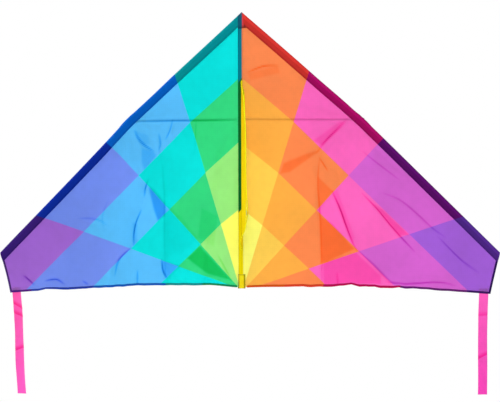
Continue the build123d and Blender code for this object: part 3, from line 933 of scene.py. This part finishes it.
def sail(side):
    """One wing's sail, from under the centre strip to inside the leading edge's sleeve and the hems."""
    root = ROOT[side]
    edge_inset = SLEEVE_WIDTH - SAIL_TUCK
    top = ((root + SAIL_TOP_WIDTH) * BEND[1] + edge_inset * UPPER_LENGTH) / BEND[0]
    share = np.linspace(0, 1, SAIL_COLUMNS)[None, :]
    drops = np.linspace(top, TIP[1], SAIL_ROWS)[:, None]
    outs = root + share * (leading_out(drops, edge_inset) - root)
    level = np.linspace(0, 1, SAIL_BAND_ROWS)[1:, None]
    tip_slope = (TIP[0] - CORNER[0]) / (CORNER[1] - TIP[1])
    edge_out = np.full_like(level, CORNER[0])
    for _ in range(12):
        edge_drop = TIP[1] + level * (trailing_drop(edge_out) - SAIL_TUCK - TIP[1])
        tip_edge = TIP[0] - (edge_drop - TIP[1]) * tip_slope - SAIL_TUCK
        edge_out = np.minimum(leading_out(edge_drop, edge_inset), tip_edge)
    band_out = root + share * (edge_out - root)
    band_drop = TIP[1] + level * (trailing_drop(band_out) - SAIL_TUCK - TIP[1])
    out = np.vstack([outs, band_out])
    drop = np.vstack([np.broadcast_to(drops, outs.shape), band_drop])
    flat = np.stack([out, drop], -1) * MM
    piece = cloth_grid(f"{side}_sail_cloth", wing(side, out, drop), {"cloth": flat})
    # How much painted shade each point gets, for the material to read.
    painted_shade = piece.data.attributes.new("painted_crease_shade", "FLOAT", "POINT")
    painted_shade.data.foreach_set("value", np.tile(painted_crease_shade(side, out, drop).ravel(), 2).astype(np.float32))
    dress(piece, sail_material(side), "sail_ripstop", f"{side}_sail")
    return piece, flat


def flat_area(flat):
    """The area of a grid of flat points."""
    a, b, c, d = flat[:-1, :-1], flat[:-1, 1:], flat[1:, 1:], flat[1:, :-1]
    p, q = c - a, d - b
    return float(abs(p[..., 0] * q[..., 1] - p[..., 1] * q[..., 0]).sum() / 2)


def leading_edge_line(side):
    """The folded edge of the sleeve, from beside the nose to the tip, eased round the bend."""
    start = SLEEVE_START[side]
    bend = np.array(BEND)
    eased = smooth_through([bend * 0.955, bend + (-0.15, 0.15), bend + LOWER_WAY * 0.04], 12)
    return evenly(np.vstack([(start, start * BEND[1] / BEND[0]), eased, TIP]), np.linspace(0, 1, 290))


def sleeve(side):
    line = leading_edge_line(side)
    at_bend = hypot(*(line[0] - BEND))

    def notch(run):
        """The back of the sleeve is cut away over the connector."""
        return 1.0 - NOTCH * (1 - rise(abs(run - at_bend), 14.0, 19.0))

    def fullness(run):
        """The sleeve is flat before the rod starts, and swells over the connector."""
        return 0.25 + 0.75 * rise(run, 0, 13) + 0.2 * (1 - rise(abs(run - at_bend), 13.0, 30.0))

    tip_way = np.subtract(CORNER, TIP)
    lean = LOWER_WAY @ tip_way / (LOWER_WAY[0] * tip_way[1] - LOWER_WAY[1] * tip_way[0])
    skew = (SLEEVE_WIDTH * BEND[1] / BEND[0], SLEEVE_WIDTH * lean)
    piece = folded_strip(f"{side}_leading_edge_sleeve", partial(wing, side), line, SLEEVE_WIDTH, SLEEVE_RADIUS,
                         SLEEVE_CLOTH, 34, skew, notch, fullness)
    dress(piece, sleeve_material(side), "sleeve_cloth",
          f"{side}_leading_edge_sleeve_upper", f"{side}_leading_edge_sleeve_lower")
    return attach(piece, f"{side}_wing")


def wing_hems(side):
    """The narrow hems folded over the trailing edge and the tip edge."""
    tip_edge = np.array([TIP, CORNER])
    start, stop = np.array(TIP_HEM_ENDS) / hypot(*(tip_edge[1] - tip_edge[0]))
    lines = {
        "trailing_hem": EDGE[EDGE[:, 0] > FOLD_AT[side] + 0.6][::-1],
        "tip_hem": evenly(tip_edge, np.linspace(start, 1 - stop, 40)),
    }
    made = []
    for name, line in lines.items():
        piece = folded_strip(f"{side}_{name}_fold", partial(wing, side), line, HEM_WIDTH, HEM_RADIUS)
        dress(piece, hem_material(side, name), "hem_cloth", f"{side}_{name}")
        made.append(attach(piece, f"{side}_wing"))
    return made


for side in ("left", "right"):
    sheet, flat = sail(side)
    edging = [sleeve(side), *wing_hems(side)]
    bend_at_fold(sheet, side, 300.0, 1.5, 2.5)
    size = (float(np.ptp(flat[..., 0])), float(np.ptp(flat[..., 1])))
    flat_area(flat)


# ---------------------------------------------------------------- centre: strip, spine sleeve, patches

SPINE_X, SPINE_Y = -3.6, 7.0
SPINE_SLEEVE_DROPS = (38.0, 603.0)
SPINE_SLEEVE_RADII = (3.7, 4.9)  # backwards and sideways
SPINE_SLEEVE_GAPS = (0.9, 0.3)  # half its mouth, outside and inside the cloth
STRIP_DARK = [(0, 128, 145), (4, 105, 42), (255, 228, 0)]
STRIP_CHANGES = [0.0, 0.156, 0.457]
STRIP_RIGHT = [(128, 34, 34), (250, 128, 76), (255, 228, 0)]
STRIP_RIGHT_CHANGES = [0.0, 0.034, 0.156]
STRIP_ABOVE = 1.6  # the top of the strip stands this far above the leading edges
STRIP_THICK = 0.6
STRIP_YELLOW_FROM = 0.0074  # right of this far across, the strip is the keel's yellow allowance
STRIP_STITCHES = (0.0016, 0.0066)


def strip_place(across, drop, back):
    """A point of the strip between the wings. across runs from the left wing to the right."""
    return swept(np.sign(across), np.abs(across), drop, back)


def strip_grid(name, across, top, end, rows, left_edge, ahead, thickness, drop_from=0.0):
    """A patch of cloth over the seam. across is its columns, top and end are its drops at each of them."""
    drop = top + np.linspace(0, 1, rows)[:, None] * (end - top)
    across, drop = np.broadcast_arrays(across, drop)
    flat = np.stack([drop - drop_from, across - left_edge], -1) * MM
    return cloth_grid(name, strip_place(across, drop, -ahead(across, drop)), {"strip": flat}, thickness)


def strip_material():
    """The left sail's allowance, and right of it the right sail's, which turns into the keel's yellow one."""
    n = Nodes("centre_strip_cloth")
    along, wide = n.flat("strip")
    left = n.steps(along + (wide - 0.004) * 1.3, solids(STRIP_DARK, 1.0), STRIP_CHANGES)
    right = n.steps(along, solids(STRIP_RIGHT, 1.0), STRIP_RIGHT_CHANGES)
    border = (along < STRIP_RIGHT_CHANGES[-1]) * 0.0017 + STRIP_YELLOW_FROM
    stitch = dashes(n, along, wide, *STRIP_STITCHES)
    # Painted shadow darkens the strip along its left edge; stitches are darker thread.
    tone = n.spread(wide, 0.0, 0.0016, 0.7, 1.0) * (1.0 - stitch * 0.3)
    colour = n.shaded(n.blend(wide > border, left, right), tone)
    return cloth(n, colour, along, wide, THICK_THROUGH, stitch, sheen=0.0, gloss=0.03)


def centre_strip():
    """The strip of folded seam allowance that joins the two sails, cut to the nose's slope at the top."""
    left, right = np.linspace(-SEAM_OUT["left"], -0.4, 10), np.linspace(0.0, SEAM_OUT["right"], 4)
    across = np.concatenate([left, right])

    def ahead(across, drop):
        pucker = 0.07 * np.sin(drop / 2.1 + 1.4 * np.sin(drop / 13.0)) + 0.08 * rough(across, drop, 19.0, 4.4)
        return 0.3 - pucker

    top = np.abs(across) * BEND[1] / BEND[0] - STRIP_ABOVE
    piece = strip_grid("centre_strip", across, top, SEAM_END, 330, -SEAM_OUT["left"], ahead, STRIP_THICK)
    dress(piece, strip_material(), "spine_cloth")
    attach(piece, "spine")


NOSE_PATCH_ACROSS = (-8.8, 15.6)
NOSE_PATCH_ABOVE = 1.2
NOSE_PATCH_END = 36.0
NOSE_PATCH_THICK = 0.35
NOSE_PATCH_SPLIT = 0.0094  # how far across its teal part reaches, in metres from its left edge
NOSE_STITCHES = (0.0146, 0.0162)


def nose_material():
    """Teal on the left and red on the right, both darker towards the lower edge, with dark stitching."""
    n = Nodes("nose_patch_cloth")
    along, wide = n.flat("strip")
    stitch = dashes(n, along, wide, *NOSE_STITCHES, pitch=0.0016, half_width=0.0007)
    red = n.mottled(300.0, solid((226, 74, 84)), solid((205, 52, 60)))
    red = n.blend(n.spread(wide, 0.0132, 0.0146), red, solid((168, 48, 44)))
    red = n.blend(n.spread(along, 0.026, 0.034), red, solid((148, 44, 34)))
    teal = n.blend(n.spread(along, 0.028, 0.036), solid((8, 84, 108)), solid((6, 62, 84)))
    colour = n.blend(stitch * 0.6, n.blend(wide > NOSE_PATCH_SPLIT, teal, red), (0.1, 0.01, 0.01, 1.0))
    return cloth(n, colour, along, wide, THICK_THROUGH, stitch)


def nose_patch():
    """A scrap sewn over the top of the strip, and on to the point of the right sail."""
    across = np.linspace(*NOSE_PATCH_ACROSS, 62)
    out = np.abs(across)
    edge = out * BEND[1] / BEND[0] - NOSE_PATCH_ABOVE
    inner_edge = edge + SLEEVE_WIDTH * UPPER_LENGTH / BEND[0]
    top = np.where(across < 2.0, edge, np.maximum(edge, inner_edge - 3.0 - 18.0 * (1 - rise(out, 2.0, 4.5))))

    def ahead(across, drop):
        return 0.86 + 0.3 * rise(across, -1.0, 3.0) - 0.05 * rough(across, drop, 4.0, 12.0)

    end = NOSE_PATCH_END - 0.12 * across
    piece = strip_grid("nose_patch_cloth", across, top, end, 34, across[0], ahead, NOSE_PATCH_THICK)
    dress(piece, nose_material(), "spine_cloth", "nose_patch")
    bend_at_fold(piece, "right", 30.0, 1.2, 2.5)


POCKET_TOP, POCKET_END = 603.5, 636.5
POCKET_X, POCKET_WIDTH, POCKET_DEPTH = -2.3, 17.9, 9.4
POCKET_CLOTH = 0.6
BAR_PITCH = 0.0026
POCKET_FRONT = (-9.3, 6.7)
POCKET_FRONT_THICK = 0.5


def pocket_material(name, bars):
    """Yellow webbing with a bar of zigzag stitching at each of these places across, and a row at its top."""
    n = Nodes(name)
    along, wide = n.flat("strip")
    zigzag = (along * (2 * pi / BAR_PITCH)).math("SINE") * 0.0005
    bars = dashes(n, along, wide + zigzag, *bars, pitch=BAR_PITCH, half_width=0.0012)
    stitch = n.most(bars, dashes(n, wide, along, 0.0014, pitch=BAR_PITCH, half_width=0.0006))
    return webbing(n, along, wide, stitch, solid((255, 232, 20), 1.0), solid((250, 218, 5), 1.0))


def spine_pocket():
    """The pocket of doubled webbing that holds the spine's end, flattened where it is sewn at the bottom."""
    turn = np.linspace(0, 2 * pi, 64, endpoint=False)
    boxy = [np.abs(way) ** 0.55 * np.sign(way) for way in (np.cos(turn), np.sin(turn))]
    drops = np.linspace(POCKET_TOP, POCKET_END, 36)
    rings, flats = [], []
    for wall, order in ((0.0, drops), (POCKET_CLOTH, drops[::-1])):
        for drop in order:
            flatten = 1 - 0.86 * rise(drop, POCKET_END - 8.0, POCKET_END)
            deep = max(POCKET_DEPTH / 2 * flatten - wall, 0.08)
            x = POCKET_X + (POCKET_WIDTH / 2 - wall) * boxy[0]
            y = SPINE_Y - 0.1 + deep * boxy[1] - POCKET_DEPTH * 0.35 * (1 - flatten)
            rings.append(kite(x, y, drop))
            flats.append(np.stack([0 * x + drop - POCKET_TOP, x - POCKET_X + POCKET_WIDTH / 2], -1) * MM)
    table = np.arange(len(rings) * len(turn)).reshape(len(rings), -1)
    faces = quads(np.pad(table, ((0, 1), (0, 1)), "wrap"))
    piece = new_mesh("spine_pocket_webbing", rings, faces, {"strip": flats})
    bars = (0.0016, POCKET_WIDTH * MM - 0.0016)
    dress(piece, pocket_material("pocket_webbing", bars), "spine_cloth", "spine_end_pocket")
    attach(piece, "spine")


def pocket_front():
    """The pocket's front layer, sewn over the strip and the corner of the right sail."""
    first, last = POCKET_FRONT

    def ahead(across, drop):
        return 0.95 + 0.75 * rise(across, -0.5, 2.2) + 0.05 * np.sin(drop)

    across = np.linspace(first, last, 34)
    piece = strip_grid("spine_pocket_front", across, POCKET_TOP, POCKET_END - 0.6, 30, first, ahead,
                       POCKET_FRONT_THICK, POCKET_TOP)
    dress(piece, pocket_material("pocket_front_webbing", (0.0012, (last - first - 2.0) * MM)), "spine_cloth")
    bend_at_fold(piece, "right", 620.0, 1.2, 2.5)


def spine_sleeve_material():
    n = Nodes("spine_sleeve_cloth")
    along, wide = n.flat("strip")
    stitch = dashes(n, along, wide, 0.0115)
    colour = n.blend(stitch, n.steps(along, solids(STRIP_DARK), STRIP_CHANGES), THREAD_DARK)
    return cloth(n, colour, along, wide, THICK_THROUGH, stitch)


def spine_sleeve():
    """The sleeve behind the strip: a loop of cloth round the spine rod, its two ends in the seam."""
    drop = np.linspace(*SPINE_SLEEVE_DROPS, 230)[:, None]
    wobble = 0.25 * np.sin(drop / 7.0) + 0.21875 * rough(drop, 60.0, 30.0, 7.0)
    reach = SPINE_Y - 0.4
    ring = ring_section(reach, SPINE_SLEEVE_RADII, SLEEVE_CLOTH, SPINE_SLEEVE_GAPS, np.linspace(0, 1, 30))
    x = SPINE_X + ring[:, 1] * (1 + wobble * 0.05)
    y = SPINE_Y - ring[:, 0] + wobble * 0.3
    flat = np.stack(np.broadcast_arrays(drop, ring[:, 0] + reach), -1) * MM
    piece = tube("spine_sleeve_cloth", kite(x, y, drop), {"strip": flat})
    dress(piece, spine_sleeve_material(), "spine_cloth", "spine_sleeve")
    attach(piece, "spine")


centre_strip()
nose_patch()
spine_sleeve()
spine_pocket()
pocket_front()


# ---------------------------------------------------------------- keel

EYELET_HOLE = 5.0
EYELET_BARREL = 3.65
PATCH_RADIUS = 30.0
PATCH_BACK = 0.53
PATCH_THICK = 0.7
PATCH_STITCHES = (0.0022, 0.0085)
KEEL_HEM = 6.0
KEEL_STITCH = 0.0045


def keel_bulge(run, width, drop):
    """How far the keel bellies towards +X beside the seam, and how far its front edge twists aside."""
    reach = run / np.maximum(width, 1.0)
    belly = 6.0 * rise(drop, KEEL_TOP, KEEL_TOP + 30) * (1 - rise(drop, 500, 545))
    belly = belly * (1 - 0.6 * rise(drop, 320, 460))
    twist = 5.0 * rise(drop, 165, 205) * (1 - rise(drop, 270, 400))
    twist = twist - 6.0 * rise(drop, 494, 522) * (1 - rise(drop, 530, 548))
    return belly * np.sin(pi * np.clip(reach / 0.75, 0, 1)) + twist * np.clip(reach, 0, 1)


def keel_width(drop):
    above = (drop - KEEL_TOP) * KEEL_APEX[0] / (KEEL_APEX[1] - KEEL_TOP)
    below = (KEEL_END - drop) * KEEL_APEX[0] / (KEEL_END - KEEL_APEX[1])
    return np.minimum(above, below)


def keel_point(run, drop, back=0.0):
    """A point of the keel: run from its fold, drop from the nose, and back to its -X face."""
    run, drop = np.asarray(run, float), np.asarray(drop, float)
    ripple = 0.5 * rough(run, drop, 26.0, 21.0) * rise(run, 4, 30) * (1 - rise(run, 85, 105))
    aside = keel_bulge(run, keel_width(drop), drop) + ripple - back
    x = KEEL_FOLD[0] + run * sin(KEEL_LEAN) + aside * cos(KEEL_LEAN)
    return kite(x, KEEL_FOLD[1] - run * cos(KEEL_LEAN) + aside * sin(KEEL_LEAN), drop)


def patch_reach(angle):
    """How far the patch reaches from the tow eyelet this way: to its round edge, or to the keel's hem."""
    for size in np.arange(PATCH_RADIUS, EYELET_BARREL, -0.25):
        if TOW[0] + size * cos(angle) < keel_width(TOW[1] + size * sin(angle)) - 1.0:
            return size
    return PATCH_RADIUS


def keel_patch_material():
    n = Nodes("keel_patch_webbing")
    along, inside = n.flat("strip")
    stitch = dashes(n, along, inside, *PATCH_STITCHES)
    return webbing(n, along, inside, stitch, solid((244, 212, 14)), solid((232, 198, 14)))


def keel_patches():
    """A round patch of webbing on each face of the keel, round the tow eyelet and down to the keel's hem."""
    turn = np.linspace(0, 2 * pi, 96, endpoint=False)[:, None]
    reach = np.array([[patch_reach(angle)] for angle in turn.ravel()])
    size = EYELET_BARREL + np.linspace(0, 1, 12) * (reach - EYELET_BARREL)
    run, drop = TOW[0] + size * np.cos(turn), TOW[1] + size * np.sin(turn)
    flat = np.stack(np.broadcast_arrays(turn * 0.02, (reach - size) * MM), -1)
    material = keel_patch_material()
    for side, sign in SIGN.items():
        points = keel_point(run, drop, sign * PATCH_BACK)
        piece = cloth_grid(f"keel_patch_{side}", points, {"strip": flat}, PATCH_THICK, wrap=True)
        dress(piece, material, "keel_cloth")
        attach(piece, "keel")
    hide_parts("keel_patch")


def keel():
    drops = np.linspace(KEEL_TOP + 4.0, KEEL_END - 3.0, 150)[:, None]
    widest = np.clip(keel_width(drops) - 1.2, 0.8, KEEL_APEX[0] - 4.0)
    run = -0.3 + np.linspace(0, 1, 56) * (widest + 0.3)
    drop = np.broadcast_to(drops, run.shape)
    flat = np.stack([run, drop], -1) * MM
    keep = np.hypot(run - TOW[0], drop - TOW[1])[:-1, :-1] > EYELET_HOLE
    piece = cloth_grid("keel_cloth", keel_point(run, drop), {"strip": flat}, keep=keep)
    dress(piece, keel_material("keel_yellow", (0.99, 0.82, 0.004, 1.0), 0.5), "keel_cloth", "keel_panel")
    return piece, flat


def keel_hem():
    """The hem round the keel's two free edges, and round its blunt point."""
    blunt = smooth_through(np.add(KEEL_APEX, [(-9.0, -18.0), (-2.6, -1.0), (-10.0, 6.0)]), 14)
    line = evenly(np.vstack([(0.4, KEEL_TOP + 0.8), blunt, (0.4, KEEL_END - 0.2)]), np.linspace(0, 1, 180))
    piece = folded_strip("keel_hem_fold", keel_point, line, KEEL_HEM, HEM_RADIUS)
    material = keel_material("keel_hem_yellow", solid((252, 230, 20)), 0.1, KEEL_STITCH)
    dress(piece, material, "keel_cloth", "keel_hem")
    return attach(piece, "keel")


keel_sheet, keel_flat = keel()
keel_edging = keel_hem()
keel_patches()
point(KEEL_FOLD[0], KEEL_FOLD[1] + 0.5, 300.0)
point(KEEL_FOLD[0], KEEL_FOLD[1] - 4.0, 300.0)
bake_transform(keel_sheet)
flat_area(keel_flat)


# ---------------------------------------------------------------- tails

TAIL_TOP = 640.0
TAIL_END = {"left": 892.5, "right": 886.0}
TAIL_BACK = 1.2
TAIL_COLOURS = {"left": ((244, 84, 164), (233, 84, 178)), "right": ((250, 90, 182), (235, 67, 176))}
TAIL_DRIFT = {"left": -9.4, "right": -1.8}
TAIL_LEAN = {"left": -6.0, "right": -2.8}
# Where each tail is creased, how far the crease climbs across the ribbon, and how much deeper painted shade
# makes its colour.
TAIL_CREASES = {
    "left": ((684.0, 12.0, 1.7), (705.0, 9.0, 1.6), (786.0, -8.0, 1.7)),
    "right": ((702.0, 1.0, 1.4), (798.0, 11.0, 1.7)),
}


def tail_material(side):
    """Pink ribbon, with painted shade deepening its colour just above each crease."""
    n = Nodes(f"{side}_tail_ribbon_pink")
    u, v = n.flat("cloth")
    top, end = (dyed(colour) for colour in TAIL_COLOURS[side])
    colour = n.blend(n.spread(v, 0.02, 0.25, smooth=False), top, end)
    for at, climb, deep in TAIL_CREASES[side]:
        below = v - (at - TAIL_TOP) * MM + (u - TAIL_WIDTH * MM / 2) * (climb / TAIL_WIDTH)
        # Painted shade above each crease, fading out just below it.
        shade_above = n.spread(below, -0.012, 0.0, 1.0, deep)
        colour = n.deeper(colour, shade_above.math("MINIMUM", n.spread(below, 0.0, 0.0016, deep, 1.0)))
    return cloth(n, colour, u, v, THROUGH)


def tail(side):
    """A ribbon sewn behind the corner, hanging, and crumpled in a place or two."""
    drop = np.linspace(TAIL_TOP, TAIL_END[side], 190)[:, None]
    across, drop = np.broadcast_arrays(np.linspace(0, TAIL_WIDTH, 14), drop)
    free = rise(drop, 656, 700)
    centred = across / TAIL_WIDTH - 0.5
    drift = TAIL_DRIFT[side] * rise(drop, 655, 960) * 1.15 + TAIL_LEAN[side] * rise(drop, 650, 700)
    curl = 2.4 * np.sin(drop / 31.0 + SEED[side]) + 1.6 * centred * np.sin(drop / 19.0)
    cup = -1.3 * (centred * 2) ** 2
    folds = 0.0
    for at, climb, _ in TAIL_CREASES[side]:
        folds = folds + 0.8 * np.exp(-(((drop - at + climb * centred) / 4.0) ** 2))
    wave = 0.35 * rough(across, drop, 9.0, 30.0 + SEED[side])
    out = TAIL_INNER + across + drift
    sewn = filled(side, out, np.minimum(drop, trailing_drop(out))) * (1 - rise(drop, 660, 700))
    back = TAIL_BACK + sewn + free * (curl + cup + folds + wave)
    flat = np.stack([across, drop - TAIL_TOP], -1) * MM
    piece = cloth_grid(f"{side}_tail_ribbon", flat_wing(side, out, drop, back), {"cloth": flat})
    dress(piece, tail_material(side), "tail_ribbon", f"{side}_tail", f"{side}_tail_stitched_end")
    middle = TAIL_INNER + TAIL_WIDTH / 2
    flat_wing(side, middle, 653.0).tolist()
    flat_wing(side, middle, 661.0).tolist()
    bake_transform(piece)


for side in ("left", "right"):
    tail(side)


# ---------------------------------------------------------------- the CAD parts that show

BARE = {
    vinyl_material: ("spine_top_cap", "spine_bottom_cap", "left_rod_upper_cap", "left_rod_lower_cap",
                     "right_rod_upper_cap", "right_rod_lower_cap", "left_connector", "right_connector"),
    fibreglass_material: ("spine_rod", "spreader_rod", "left_leading_edge_rod", "right_leading_edge_rod"),
    brass_material: ("tow_eyelet", "eyelet_washer"),
}
for make_material, names in BARE.items():
    material = make_material()
    for name in names:
        paint(frame["nodes"][name], material)


# ---------------------------------------------------------------- stage, lights and camera

WHITE = (1.0, 1.0, 1.0, 1.0)
AMBIENT = 0.42
FLOOR_SIZE = 3.0
FLOOR_BELOW = 0.3
FLOOR_THICK = 20.0

VIEW_FROM = point(502.2, -4471.0, 403.4)
VIEW_TO = point(18.1, 0.0, 434.3)
VIEW_ROLL = radians(-0.18)
SENSOR_WIDTH = 36.0
LENS = 140.3136
MIDDLE = point(0.0, 40.0, 380.0)
# Each light's place, size in metres, and level. The one behind the kite is small, so its shadows are sharp.
LIGHTS = {
    "key_light": (point(700.0, -3400.0, -1700.0), 1.6, 0.4),
    "side_light": (point(-3400.0, 0.0, -700.0), 1.6, 0.8),
    "back_light": (MIDDLE + (MIDDLE - VIEW_FROM).normalized() * 4.0, 0.25, 0.8),
}


def floor():
    """A pale floor, well below the kite, which hangs."""
    middle = (CAD_BOX[0] + CAD_BOX[1]) / 2
    steps = np.linspace(-FLOOR_SIZE / 2, FLOOR_SIZE / 2, 13)
    x, y = np.meshgrid(steps, steps)
    points = np.stack([middle.x + x, middle.y + y, np.full_like(x, CAD_BOX[0].z - FLOOR_BELOW)], -1)
    piece = cloth_grid("floor", points, {"cloth": np.stack([x, y], -1)}, FLOOR_THICK)
    n = Nodes("pale_floor")
    colour = n.mottled(3.0, (0.86, 0.86, 0.85, 1.0), (0.89, 0.89, 0.88, 1.0))
    paint(piece, n.surface(Base_Color=colour, Roughness=0.8))


def put(thing, place, target, roll=0.0):
    """Places a light or a camera and aims it."""
    thing.location = place
    thing.rotation_mode = "QUATERNION"
    thing.rotation_quaternion = (target - place).to_track_quat("-Z", "Y") @ Quaternion((0, 0, 1), roll)


def area_light(name, place, size, level):
    """A square light. level is the brightness that it gives white cloth facing it in the kite's middle."""
    data = bpy.data.lights.new(name, "AREA")
    data.shape = "SQUARE"
    data.size = size
    data.energy = level * pi * pi * (place - MIDDLE).length ** 2
    light = new_object(name, data)
    light.visible_camera = False
    put(light, place, MIDDLE)


def sky():
    """White all round behind the kite, and a softer light from everywhere on it."""
    n = Nodes("studio", bpy.data.worlds)
    bpy.context.scene.world = n.owner
    seen = n.node("Background", Color=WHITE)
    light = n.node("Background", Color=WHITE, Strength=AMBIENT)
    n.finish(n.mix_shaders(n.node("LightPath").outputs["Is Camera Ray"], light, seen), "OutputWorld")


def camera():
    """Looks at the keel's side of the kite from a little to the right."""
    seen_from = new_object("camera", bpy.data.cameras.new("camera"))
    seen_from.data.sensor_width = SENSOR_WIDTH
    seen_from.data.lens = LENS
    put(seen_from, VIEW_FROM, VIEW_TO, VIEW_ROLL)
    bpy.context.scene.camera = seen_from


floor()
sky()
for name, row in LIGHTS.items():
    area_light(name, *row)
camera()
bpy.context.scene.view_settings.view_transform = "Standard"
